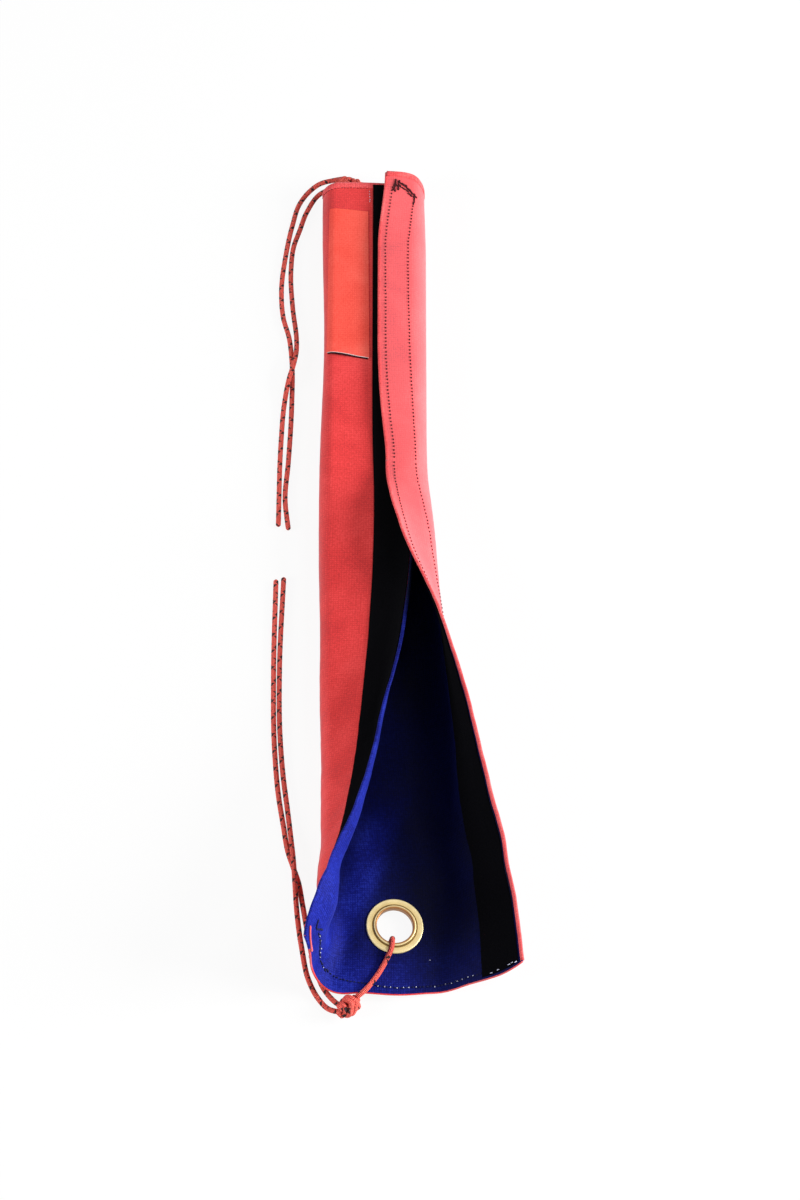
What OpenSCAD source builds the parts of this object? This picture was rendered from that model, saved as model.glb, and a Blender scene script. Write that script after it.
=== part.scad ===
// Rope protector sleeve: a coated fabric panel, lined, rolled into a tube round a rope
// and held shut by hook and loop strips. It lies on its back, flared open at the hem.
// X is across the sleeve, +Y runs from the open hem to the closed end, Z is up.
// On the flat panel s is measured across from the free edge of the underlap, and t
// from the hem along the sleeve.

/* [Panel] */
// Width of the flat panel, across the rope
panel_w = 216; // [206:1:230]
// Length of the sleeve, along the rope
panel_l = 700; // [640:10:800]
// Thickness of the coated outer shell
shell_t = 1; // [0.7:0.1:1.3]
// Thickness of the lining
lining_t = 0.8; // [0.5:0.1:1.1]

/* [Tube] */
// Length of fabric that rolls round the left side of the closed tube
tube_roll = 31; // [28:1:36]

/* [Closure] */
// Width of the hook strip and of the loop strip
strip_w = 30; // [24:1:34]
// Thickness of each strip with its pile
strip_t = 1.2; // [0.8:0.1:1.5]
// Shell left bare between the hook strip and the flap's free edge
flap_margin = 3; // [2:0.5:5]
// Lining left bare between the loop strip and the underlap's free edge
lap_margin = 2; // [1:0.5:4]
// Gap between the hooks and the loops, and at the flap's fold
closure_gap = 0.5; // [0.4:0.1:0.8]
// Distance from the hem at which the closed stretch starts
closed_from = 430; // [430:10:480]

/* [Eyelets] */
// Outer diameter of the eyelet's flange and of its washer
eyelet_od = 43; // [38:1:46]
// Clear hole through the eyelet
eyelet_hole = 27; // [20:1:30]
// Diameter of the rolled lip that closes over the washer
eyelet_lip_od = 32; // [31:1:36]
// Wall of the eyelet's barrel
eyelet_wall = 0.7; // [0.5:0.1:1]
// Thickness of the flange, and of the washer
eyelet_t = 1.1; // [0.8:0.1:1.4]
// Distance from each end of the sleeve to the centre of its eyelet
eyelet_in = 51; // [46:1:56]

/* [Label] */
// Width of the sewn label
label_w = 34; // [24:1:38]
// Length of the sewn label
label_l = 132; // [80:1:150]
// Thickness of the label
label_t = 0.4; // [0.3:0.1:0.8]
// Distance from the closed end to the label
label_in = 18; // [10:1:21]
// Distance from the loop strip to the label
label_gap = 2; // [1:1:6]

/* [Cords] */
// Diameter of the accessory cord
cord_d = 4; // [3:0.5:4]
// Width of the doubled overhand knots
knot_w = 16; // [13:1:18]
// Length of the doubled overhand knots
knot_l = 20; // [17:1:23]

/* [Hidden] */

shell_col = [0.85, 0.24, 0.22];
lining_col = [0.12, 0.17, 0.6];
strip_col = [0.06, 0.06, 0.07];
label_col = [1, 0.41, 0.35];
brass_col = [0.87, 0.78, 0.6];
cord_col = [0.84, 0.3, 0.27];

// Heights of the layers, measured from the face where the shell meets the lining:
// the shell lies below that face, and the lining above it, inside the tube
hook_top = lining_t + strip_t;
loop_low = -shell_t - strip_t;
// Height of the flap's seam face over the underlap's where the tube is closed
stack = shell_t + 2 * strip_t + lining_t + closure_gap;
// The right side of the tube rolls round the closed layers, so its roll is longer
flap_roll = tube_roll + stack * PI / 2;

// Places across the panel
mid_s = panel_w / 2;
eyelet_s = mid_s + 6;
hook_s = panel_w - flap_margin - strip_w;
loop_s = lap_margin + strip_w;
label_s = loop_s + label_gap;
// The fold line of the flap runs just before the hook strip
fold_s = hook_s - 1;
// A wider panel has a longer underlap and a wider back, which take half the growth each
grow = (panel_w - 216) / 2;

// Steps along t in which the panel's form is worked out
STEPS = 70;
step = panel_l / STEPS;

// Round each eyelet the panel is flat, and high enough for its cord to pass beneath
eyelet_flat = eyelet_od / 2 + 0.5;
eyelet_z = shell_t + eyelet_t + cord_d + 0.3;
fade_s = 18;
fade_t = 60;
// The bends leave the eyelets' patch free, and the back widens from the lower patch on
low_end = eyelet_in + eyelet_flat + step;

// Places along the panel
label_end = panel_l - label_in;
label_start = label_end - label_l;
// The flap's free edge ends this far beyond the underlap's at the closed end
skew = 8;

// The form of the panel at stations along t. Each row holds t, the place x, z of the
// panel's middle, and the tilt of the back. Then come three bends, each with the s at
// which it starts, its length and its turn in degrees: the left side and the lip of the
// underlap, which both run towards s = 0, and the right side, which runs to the flap.
FORM = [
  [0,           -10, shell_t + 3,   -7, 70, 30,        82,  28, 18, 0,  137, 30,        38],
  [40,          -10, shell_t + 3,   -7, 71, 30,        96,  28, 18, 24, 137, 31,        44],
  [80,          -10, shell_t + 3,   -7, 74, 31,        118, 25, 16, 62, 137, 34,        53],
  [120,         -16, shell_t + 2.3, -4, 79, 33,        141, 22, 14, 86, 137, 40,        58],
  [200,         -25, shell_t,       0,  86, 34,        160, 19, 13, 76, 141, 48,        76],
  [290,         -32, shell_t,       0,  92, 34,        170, 17, 13, 56, 150, 43,        106],
  [360,         -36, shell_t,       0,  92, 33,        178, 16, 13, 20, 155, 40,        140],
  [closed_from, -37, shell_t,       0,  92, tube_roll, 181, 16, 13, 0,  153, flap_roll, 181],
  [panel_l,     -37, shell_t,       0,  92, tube_roll, 181, 16, 13, 0,  153, flap_roll, 181]];
STATIONS = len(FORM);

// Slope of column k between rows j and j + 1, and at row j, level where the column turns
function rise(k, j) = (FORM[j + 1][k] - FORM[j][k]) / (FORM[j + 1][0] - FORM[j][0]);
function slope(k, j) =
  j == 0 ? rise(k, 0)
  : j == STATIONS - 1 ? 0
  : let (before = rise(k, j - 1), after = rise(k, j))
    before * after <= 0 ? 0 : 2 * before * after / (before + after);

// Value of column k at a fraction u of the way from row j to row j + 1, on a smooth curve
function blend(k, j, u) =
  let (span = FORM[j + 1][0] - FORM[j][0], u2 = u * u, u3 = u2 * u)
  (2 * u3 - 3 * u2 + 1) * FORM[j][k] + (u3 - 2 * u2 + u) * span * slope(k, j)
  + (3 * u2 - 2 * u3) * FORM[j + 1][k] + (u3 - u2) * span * slope(k, j + 1);

function part_of(u) = min(1, max(0, u));
function ease(u) = let (v = part_of(u)) v * v * (3 - 2 * v);
function station(t, j = 0) = j >= STATIONS - 2 || t < FORM[j + 1][0] ? j : station(t, j + 1);
function form(t) =
  let (j = station(t), u = (t - FORM[j][0]) / (FORM[j + 1][0] - FORM[j][0]),
       f = [for (k = [1:12]) blend(k, j, u)],
       left = min(f[3] + grow, eyelet_s - eyelet_flat),
       right = max(f[9] + grow * (1 + ease((t - low_end) / (closed_from - low_end))),
                   eyelet_s + eyelet_flat))
  [for (k = [0:11]) k == 3 ? left : k == 9 ? right : f[k]];

// Direction of the panel at s, in degrees up from +X
function heading(f, s) =
  f[2] - f[5] * part_of((f[3] - s) / f[4]) + f[8] * part_of((f[6] - s) / f[7])
  + f[11] * part_of((s - f[9]) / f[10]);

// How far a point belongs to an eyelet's flat patch: 1 on it, fading to 0 round it
function patch(s, t) =
  (1 - ease((abs(s - eyelet_s) - eyelet_flat) / fade_s))
  * (1 - ease((min(t, panel_l - t) - low_end) / fade_t));

// Cross-section at t: x and z at each millimetre of s
function section(t) =
  let (f = form(t),
       run = [for (s = 0, x = 0, z = 0; s <= panel_w;
                   x = x + cos(heading(f, s + 0.5)), z = z + sin(heading(f, s + 0.5)), s = s + 1)
              [x, z]],
       home = run[round(mid_s)])
  [for (s = [0:panel_w])
    [run[s].x - home.x + f[0],
     run[s].y - home.y + f[1] + (eyelet_z - f[1]) * patch(s, t)]];

// The panel keeps its length, so y is what is left of each step after x and z
SECTIONS = [for (i = [0:STEPS]) section(i * step)];
function fall(y, i) =
  [for (s = [0:panel_w])
    let (move = SECTIONS[i][s] - SECTIONS[i - 1][s])
    y[s] - sqrt(step * step - move * move)];
Y_FROM_END =
  [for (i = STEPS, y = [for (s = [0:panel_w]) skew * s / panel_w]; i >= 0;
        y = i > 0 ? fall(y, i) : y, i = i - 1)
    y];

// The origin is under the middle of the sleeve's outline
edge_x = [for (row = SECTIONS, p = row) p.x];
edge_y = [for (row = Y_FROM_END, y = row) y];
home_x = (min(edge_x) + max(edge_x)) / 2;
home_y = (min(edge_y) + max(edge_y)) / 2;

// Point of the seam face at s, t, and a point at height h over it
function seam_at(i, j) =
  [SECTIONS[i][j].x - home_x, Y_FROM_END[STEPS - i][j] - home_y, SECTIONS[i][j].y];
function seam(s, t) =
  let (i = min(STEPS - 1, floor(t / step)), j = min(panel_w - 1, floor(s)),
       u = t / step - i, v = s - j)
  (1 - u) * ((1 - v) * seam_at(i, j) + v * seam_at(i, j + 1))
  + u * ((1 - v) * seam_at(i + 1, j) + v * seam_at(i + 1, j + 1));
function over(s, t, h) =
  let (a = heading(form(t), s))
  seam(s, t) + h * [-sin(a), 0, cos(a)];

// Numbers in n equal steps from a to b, and the same without the first
function steps(a, b, n) = [for (i = [0:n]) a + (b - a) * i / n];
function after(a, b, n) = [for (i = [1:n]) a + (b - a) * i / n];

// Columns across the panel
LOOP_S = steps(lap_margin, loop_s, 2);
LABEL_S = steps(label_s, label_s + label_w, 6);
HOOK_S = [for (u = [0, 0.13, 0.27, 0.5, 0.75, 1]) hook_s + strip_w * u];
FLAP_S = concat([fold_s + closure_gap / 2], HOOK_S, [panel_w]);
BACK_S = concat(after(label_s + label_w, eyelet_s - eyelet_flat, 4),
                after(eyelet_s - eyelet_flat, eyelet_s + eyelet_flat, 2),
                after(eyelet_s + eyelet_flat, fold_s - closure_gap / 2, 7));
PANEL_S = concat([0], LOOP_S, LABEL_S, BACK_S, HOOK_S, [panel_w]);

// Rows along the panel, from the hem to the closed stretch and on to the closed end
LOW_T = concat([0], steps(eyelet_in - eyelet_flat, eyelet_in + eyelet_flat, 2),
               after(eyelet_in + eyelet_flat, closed_from, 10));
LABEL_T = concat(steps(label_start, panel_l - eyelet_in - eyelet_flat, 2),
                 [panel_l - eyelet_in + eyelet_flat, label_end]);
HIGH_T = concat(after(closed_from, (closed_from + label_start) / 2, 1), LABEL_T, [panel_l]);
PANEL_T = concat(LOW_T, HIGH_T);
FLAP_T = concat([closed_from + closure_gap], HIGH_T);

// A sheet of the panel between two heights, over the grid of columns S and rows T.
// keep says which cells are there.
function quad(a, b, c, d) = [[a, b, c], [a, c, d]];
module sheet(S, T, low, high, keep = function (i, j) true) {
  n = len(S);
  layer = n * len(T);
  on = function (i, j) i >= 0 && j >= 0 && i < len(T) - 1 && j < n - 1 && keep(i, j);
  at = function (i, j, top) i * n + j + (top ? layer : 0);
  faces = [for (i = [0:len(T) - 2], j = [0:n - 2]) if (on(i, j)) each concat(
    quad(at(i, j, true), at(i + 1, j, true), at(i + 1, j + 1, true), at(i, j + 1, true)),
    quad(at(i, j, false), at(i, j + 1, false), at(i + 1, j + 1, false), at(i + 1, j, false)),
    on(i, j - 1) ? []
    : quad(at(i, j, false), at(i + 1, j, false), at(i + 1, j, true), at(i, j, true)),
    on(i, j + 1) ? []
    : quad(at(i, j + 1, false), at(i, j + 1, true), at(i + 1, j + 1, true), at(i + 1, j + 1, false)),
    on(i - 1, j) ? []
    : quad(at(i, j, false), at(i, j, true), at(i, j + 1, true), at(i, j + 1, false)),
    on(i + 1, j) ? []
    : quad(at(i + 1, j, false), at(i + 1, j + 1, false), at(i + 1, j + 1, true), at(i + 1, j, true)))];
  polyhedron(concat([for (t = T, s = S) over(s, t, low)], [for (t = T, s = S) over(s, t, high)]),
             faces);
}

// Everything of the panel but the flap, which starts past the fold in the closed stretch
function off_flap(i, j) = PANEL_T[i] < closed_from || PANEL_S[j + 1] < fold_s;
// The shell is one cloth. Its solid is divided across into five stretches, because
// each then keeps the hollow of the sleeve open in its own collision shape.
CUTS = [0, 5, 9, len(LOW_T) - 1, len(LOW_T) + 1, len(PANEL_T) - 1];

// The eyelets
barrel_r = eyelet_hole / 2 + eyelet_wall;
washer_fit = 0.1;
lip_t = 2 * eyelet_wall;
module at_eyelet(t) {
  translate(seam(eyelet_s, t)) rotate([0, -heading(form(t), eyelet_s), 0]) children();
}
module eyelet_holes() {
  for (t = [eyelet_in, panel_l - eyelet_in])
    at_eyelet(t) cylinder(h = 3 * (shell_t + lining_t), r = barrel_r + washer_fit, center = true, $fn = 96);
}
module shell_stretch(k) {
  color(shell_col) difference() {
    sheet(PANEL_S, PANEL_T, -shell_t, 0,
          function (i, j) i >= CUTS[k] && i < CUTS[k + 1] && off_flap(i, j));
    eyelet_holes();
  }
}

module shell_hem() {
  shell_stretch(0);
}
module shell_flare() {
  shell_stretch(1);
}
module shell_mouth() {
  shell_stretch(2);
}
module shell_channel() {
  shell_stretch(3);
}
module shell_end() {
  shell_stretch(4);
}
module lining() {
  color(lining_col) difference() {
    sheet(PANEL_S, PANEL_T, 0, lining_t, function (i, j) off_flap(i, j));
    eyelet_holes();
  }
}
module hook_strip() {
  color(strip_col) sheet(HOOK_S, LOW_T, lining_t, hook_top);
}
module loop_strip() {
  color(strip_col) sheet(LOOP_S, PANEL_T, loop_low, -shell_t);
}
module flap_shell() {
  color(shell_col) sheet(FLAP_S, FLAP_T, -shell_t, 0);
}
module flap_lining() {
  color(lining_col) sheet(FLAP_S, FLAP_T, 0, lining_t);
}
module flap_hook_strip() {
  color(strip_col) sheet(HOOK_S, FLAP_T, lining_t, hook_top);
}
module label() {
  color(label_col) sheet(LABEL_S, LABEL_T, -shell_t - label_t, -shell_t);
}

// Points of an arc round [x, y] from angle a to angle b
function arc(x, y, r, a, b, n = 6) =
  [for (i = [0:n]) let (w = a + (b - a) * i / n) [x + r * cos(w), y + r * sin(w)]];
// The eyelet's flange lies against the shell, and its barrel comes up through the panel
// and is rolled out over the washer
module eyelet() {
  back = -shell_t;
  lip_low = lining_t + eyelet_t;
  rim = eyelet_t / 2;
  color(brass_col) rotate_extrude($fn = 96) polygon(concat(
    [[eyelet_hole / 2 + rim, back - eyelet_t]],
    arc(eyelet_od / 2 - rim, back - rim, rim, -90, 90),
    [[barrel_r, back], [barrel_r, lip_low]],
    arc(eyelet_lip_od / 2 - lip_t / 2, lip_low + lip_t / 2, lip_t / 2, -90, 90),
    arc(eyelet_hole / 2 + eyelet_wall, lip_low + lip_t - eyelet_wall, eyelet_wall, 90, 180),
    arc(eyelet_hole / 2 + rim, back - eyelet_t + rim, rim, 180, 270)));
}
// The washer lies on the lining with its outer edge turned down
module eyelet_washer() {
  rim = eyelet_t * 0.8;
  color(brass_col) translate([0, 0, lining_t]) rotate_extrude($fn = 96) polygon(concat(
    [[barrel_r + washer_fit, 0], [eyelet_od / 2, 0]],
    arc(eyelet_od / 2 - rim, eyelet_t - rim, rim, 0, 90),
    [[barrel_r + washer_fit, eyelet_t]]));
}
module lower_eyelet() {
  at_eyelet(eyelet_in) eyelet();
}
module lower_eyelet_washer() {
  at_eyelet(eyelet_in) eyelet_washer();
}
module upper_eyelet() {
  at_eyelet(panel_l - eyelet_in) eyelet();
}
module upper_eyelet_washer() {
  at_eyelet(panel_l - eyelet_in) eyelet_washer();
}

// A cord is a tube swept along its points, with its ring corners turned to ref
CORD_SIDES = 10;
function unit(v) = v / norm(v);
function ring(p, dir, ref) =
  let (a = unit(cross(ref, dir)), b = cross(dir, a))
  [for (i = [0:CORD_SIDES - 1]) let (w = 360 * i / CORD_SIDES)
    p + cord_d / 2 * (cos(w) * a + sin(w) * b)];
module cord(route, ref) {
  last = len(route) - 1;
  n = CORD_SIDES;
  ahead = function (i) unit(route[min(i + 1, last)] - route[max(i - 1, 0)]);
  rings = [for (i = [0:last]) each ring(route[i], ahead(i), ref)];
  walls = [for (i = [0:last - 1], k = [0:n - 1]) let (l = (k + 1) % n)
    each quad(i * n + k, (i + 1) * n + k, (i + 1) * n + l, i * n + l)];
  ends = [[for (k = [0:n - 1]) k], [for (k = [0:n - 1]) last * n + n - 1 - k]];
  color(cord_col) polyhedron(rings, concat(walls, ends));
}

// Routes of the cords. Each cord is doubled through its eyelet, knotted close to the
// end of the sleeve, and its two tails lie on the ground and cross once.
LOWER_LOOP = [[-44, -355, 9], [-37, -350, 11.7], [-30, -341, 10.7], [-22, -327, 10],
              [-17.5, -316, 11.5], [-17, -311, 11], [-17, -308.5, 8], [-17.5, -308.5, 4.8],
              [-19, -311, 2], [-25, -321, 2], [-36, -341, 2], [-44, -355, 5]];
LOWER_LEFT = [[-55, -365, 6], [-64, -361, 2.5], [-72, -352, 2], [-78, -340, 2], [-84, -313, 2],
              [-88, -284, 3], [-89.5, -264, 6.4], [-91, -245, 6.4], [-93, -228, 4],
              [-96, -204, 2], [-99.5, -178, 2], [-102.5, -145, 2], [-104, -85, 2], [-102, -7, 2]];
LOWER_RIGHT = [[-55, -360, 6], [-60, -355, 3], [-67, -346, 2], [-73, -332, 2], [-80, -300, 2],
               [-84, -278, 2], [-87, -262, 2], [-91, -250, 2], [-95, -238, 2], [-99, -216, 2],
               [-103, -192, 2], [-106.5, -156, 2], [-108.5, -90, 2], [-108, -9, 2]];
UPPER_LOOP = [[-49, 354, 9.4], [-47.5, 342, 9.6], [-46, 327, 10], [-45, 319, 11.2],
              [-44.5, 313, 12.2], [-44, 309.5, 11.4], [-44, 307.5, 8.5], [-44.5, 307.5, 5],
              [-45, 310, 2.3], [-46, 318, 2.1], [-47.5, 343, 2.1], [-47.8, 350, 2.1],
              [-48, 354, 6]];
UPPER_LEFT = [[-57, 362, 6], [-66, 362.5, 2.5], [-78, 359, 2], [-86, 352, 2], [-94, 340, 2],
              [-100, 318, 2], [-105, 289, 2], [-108, 254, 2], [-106, 229, 2], [-101, 210, 2],
              [-98.5, 188, 2], [-98, 150, 2], [-100, 95, 2], [-102, 62, 2], [-99, 35, 2]];
UPPER_RIGHT = [[-58, 357, 6], [-66, 355, 2.5], [-77, 349.5, 2], [-88, 332, 2], [-94, 313, 2],
               [-98.5, 298, 2], [-100.5, 275, 2], [-98.5, 238, 2], [-95, 208, 2.6],
               [-95, 196, 4.6], [-97, 183, 6.4], [-100.5, 169, 6.4], [-104, 148, 2.6],
               [-106, 115, 2], [-107, 38, 2]];
ACROSS = [1, 0, 0];
UP = [0, 0, 1];

// A doubled overhand knot: three turns of cord side by side, drawn in at the ends
KNOT_STEPS = 24;
function knot_r(u) =
  let (end = 2 * u - 1)
  knot_w / 2 * sqrt(1 - 0.86 * end * end) * (0.87 + 0.13 * abs(sin(540 * u)));
module knot(place, turn) {
  profile = concat([[0, -knot_l / 2]],
    [for (i = [0:KNOT_STEPS]) let (u = i / KNOT_STEPS) [knot_r(u), (u - 0.5) * knot_l]],
    [[0, knot_l / 2]]);
  color(cord_col) translate(place) rotate([0, 90, turn]) rotate_extrude($fn = 48) polygon(profile);
}

module lower_cord_loop() {
  cord(LOWER_LOOP, ACROSS);
}
module lower_knot() {
  knot([-50, -361, knot_w / 2 + 0.2], 40);
}
module lower_cord_tail_left() {
  cord(LOWER_LEFT, UP);
}
module lower_cord_tail_right() {
  cord(LOWER_RIGHT, UP);
}
module upper_cord_loop() {
  cord(UPPER_LOOP, ACROSS);
}
module upper_knot() {
  knot([-53, 358, knot_w / 2 + 0.2], 145);
}
module upper_cord_tail_left() {
  cord(UPPER_LEFT, UP);
}
module upper_cord_tail_right() {
  cord(UPPER_RIGHT, UP);
}

shell_hem();
shell_flare();
shell_mouth();
shell_channel();
shell_end();
lining();
hook_strip();
loop_strip();
flap_shell();
flap_lining();
flap_hook_strip();
label();
lower_eyelet();
lower_eyelet_washer();
upper_eyelet();
upper_eyelet_washer();
lower_cord_loop();
lower_knot();
lower_cord_tail_left();
lower_cord_tail_right();
upper_cord_loop();
upper_knot();
upper_cord_tail_left();
upper_cord_tail_right();
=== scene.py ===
# %% [markdown]
# A rope protector is a lined fabric panel that is rolled round a rope and shut with hook and loop
# strips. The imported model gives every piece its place, so it is loaded first. Cloth, cords and
# thread are then made over it, and the two brass eyelets stay as they are.

# %% Load the frame
import bpy, math
import numpy as np
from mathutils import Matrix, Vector


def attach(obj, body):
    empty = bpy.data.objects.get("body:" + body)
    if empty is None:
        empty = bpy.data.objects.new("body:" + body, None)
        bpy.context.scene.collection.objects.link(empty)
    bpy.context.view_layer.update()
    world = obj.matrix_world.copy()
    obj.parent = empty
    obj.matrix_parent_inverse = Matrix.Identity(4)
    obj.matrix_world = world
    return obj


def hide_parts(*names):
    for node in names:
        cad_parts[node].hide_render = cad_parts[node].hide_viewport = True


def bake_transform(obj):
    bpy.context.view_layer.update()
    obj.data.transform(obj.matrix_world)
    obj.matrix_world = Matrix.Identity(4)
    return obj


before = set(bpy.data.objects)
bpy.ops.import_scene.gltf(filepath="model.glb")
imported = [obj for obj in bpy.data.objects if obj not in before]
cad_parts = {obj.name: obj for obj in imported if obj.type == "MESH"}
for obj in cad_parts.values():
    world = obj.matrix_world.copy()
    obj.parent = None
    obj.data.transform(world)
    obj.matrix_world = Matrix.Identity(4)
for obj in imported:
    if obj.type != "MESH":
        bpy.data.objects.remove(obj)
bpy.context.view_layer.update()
scene = bpy.context.scene
scene.view_settings.view_transform = "Standard"

# %% [markdown]
# The camera looks down on the sleeve from 63 degrees, 2.6 m away, with a long lens and a small
# vertical shift.

# %% Camera
look_at = Vector((-0.0114, -0.0055, 0.0))
elevation, distance = math.radians(63), 2.6
picture_high, moved_up = 1200, 23    # in pixels
camera_data = bpy.data.cameras.new("camera")
camera_data.lens = 100
camera_data.shift_y = -moved_up / picture_high
camera = bpy.data.objects.new("camera", camera_data)
camera.location = look_at + distance * Vector((0, -math.cos(elevation), math.sin(elevation)))
camera.rotation_euler = (math.pi / 2 - elevation, 0, 0)
scene.collection.objects.link(camera)
scene.camera = camera
print("camera at", [round(v, 3) for v in camera.location])

# %% [markdown]
# A mesh made by code is a list of points and faces. The helper also takes the flat cloth's own
# coordinates as a UV map, in metres, so that a weave keeps its real size however the cloth rolls.

# %% Mesh helper
def make_mesh(name, points_mm, faces, uv=None, normals=None, corner_uv=None):
    """uv holds a place for every point, corner_uv one for every corner of every face."""
    mesh = bpy.data.meshes.new(name)
    points = np.asarray(points_mm, float) * 0.001
    mesh.from_pydata(points.tolist(), [], faces.tolist() if isinstance(faces, np.ndarray) else faces)
    mesh.update()
    if uv is not None:
        index = np.empty(len(mesh.loops), np.int32)
        mesh.loops.foreach_get("vertex_index", index)
        corner_uv = np.asarray(uv, float)[index]
    if corner_uv is not None:
        flat = (np.asarray(corner_uv, float) * 0.001).astype(np.float32)
        mesh.uv_layers.new(name="flat").data.foreach_set("uv", flat.ravel())
    mesh.shade_smooth()
    if normals is not None:
        mesh.normals_split_custom_set_from_vertices(np.asarray(normals, float).tolist())
    piece = bpy.data.objects.new(name, mesh)
    scene.collection.objects.link(piece)
    return piece

def select_only(*pieces):
    bpy.ops.object.select_all(action="DESELECT")
    for piece in pieces:
        piece.select_set(True)
    bpy.context.view_layer.objects.active = pieces[0]

def unit(vectors):
    return vectors / np.maximum(np.linalg.norm(vectors, axis=-1, keepdims=True), 1e-9)

def run_length(points):
    """How far along the line each of its points lies."""
    return np.concatenate([[0], np.cumsum(np.linalg.norm(np.diff(points, axis=0), axis=1))])

def smoothed(rows, width, reach=6):
    """Each row becomes a mean of its neighbours with bell-shaped weights; the ends are held."""
    bell = np.exp(-(np.arange(-reach, reach + 1) / width) ** 2)
    bell /= bell.sum()
    padded = np.pad(rows, ((reach, reach), (0, 0)), "edge")
    return np.stack([np.convolve(column, bell, "valid") for column in padded.T], 1)

def ring_faces(rows, n):
    """Faces between rows of n points that each run round and close."""
    return [[r*n + i, r*n + (i + 1) % n, (r + 1)*n + (i + 1) % n, (r + 1)*n + i]
            for r in range(rows - 1) for i in range(n)]

def hermite(u, a, b, lean_a, lean_b):
    """The smooth run from a to b, with those slopes at its ends, for u from 0 to 1."""
    return ((2*u**3 - 3*u**2 + 1) * a + (u**3 - 2*u**2 + u) * lean_a
            + (3*u**2 - 2*u**3) * b + (u**3 - u**2) * lean_b)

print("a 3 by 4 slant is", run_length(np.array([[0, 0], [3, 4]]))[-1], "long")

# %% [markdown]
# Each accessory cord is 4 mm thick. It is doubled through an eyelet, knotted, and its two tails
# lie on the ground. The routes are the model's own points, in millimetres, each rounded into one
# smooth curve, whose length is measured.

# %% Cord routes
cord_d = 4.0
gap = 0.02    # keeps two faces, or a face and the floor, out of one plane
routes = {
    "lower_cord_loop": [[-44, -355, 9], [-37, -350, 11.7], [-30, -341, 10.7], [-22, -327, 10],
        [-17.5, -316, 11.5], [-17, -311, 11], [-17, -308.5, 8], [-17.5, -308.5, 4.8],
        [-19, -311], [-25, -321], [-36, -341], [-44, -355, 5]],
    "lower_cord_tail_left": [[-55, -365, 6], [-64, -361, 2.5], [-72, -352], [-78, -340],
        [-84, -313], [-88, -284, 3], [-89.5, -264, 6.4], [-91, -245, 6.4], [-93, -228, 4],
        [-96, -204], [-99.5, -178], [-102.5, -145], [-104, -85], [-102, -7]],
    "lower_cord_tail_right": [[-55, -360, 6], [-60, -355, 3], [-67, -346], [-73, -332],
        [-80, -300], [-84, -278], [-87, -262], [-91, -250], [-95, -238],
        [-99, -216], [-103, -192], [-106.5, -156], [-108.5, -90], [-108, -9]],
    "upper_cord_loop": [[-49, 354, 9.4], [-47.5, 342, 9.6], [-46, 327, 10], [-45, 319, 11.2],
        [-44.5, 313, 12.2], [-44, 309.5, 11.4], [-44, 307.5, 8.5], [-44.5, 307.5, 5],
        [-45, 310, 2.3], [-46, 318, 2.1], [-47.5, 343, 2.1], [-47.8, 350, 2.1], [-48, 354, 6]],
    "upper_cord_tail_left": [[-57, 362, 6], [-66, 362.5, 2.5], [-78, 359], [-86, 352],
        [-94, 340], [-100, 318], [-105, 289], [-108, 254], [-106, 229],
        [-101, 210], [-98.5, 188], [-98, 150], [-100, 95], [-102, 62],
        [-99, 35]],
    "upper_cord_tail_right": [[-58, 357, 6], [-66, 355, 2.5], [-77, 349.5], [-88, 332],
        [-94, 313], [-98.5, 298], [-100.5, 275], [-98.5, 238], [-95, 208, 2.6],
        [-95, 196, 4.6], [-97, 183, 6.4], [-100.5, 169, 6.4], [-104, 148, 2.6],
        [-106, 115], [-107, 38]],
}

def smooth_route(points, spacing=1.0):
    """A curve through the points, at an even spacing. A point without a height lies on the ground."""
    p = np.array([[*point, cord_d / 2][:3] for point in points], float)
    reach = np.linalg.norm(np.diff(p, axis=0), axis=1)
    lean = np.gradient(p, run_length(p), axis=0)
    u = np.linspace(0, 1, 12, endpoint=False)[:, None]
    fine = [hermite(u, p[k], p[k + 1], reach[k] * lean[k], reach[k] * lean[k + 1])
            for k in range(len(p) - 1)]
    fine = np.vstack(fine + [p[-1:]])
    along = run_length(fine)
    even = np.linspace(0, along[-1], max(8, int(along[-1] / spacing)) + 1)
    return np.stack([np.interp(even, along, fine[:, k]) for k in range(3)], axis=1), even

print("routes:", list(routes))

# %% [markdown]
# A cord is a tube swept along its curve. Its section turns as little as it can from ring to ring,
# and each cut end is closed with a small melted dome. The UV map holds turns round the cord and
# millimetres along it, so that the plait and its dark tracer yarns can follow. It is set corner by
# corner, because round the cord it starts again where it ends.

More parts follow.
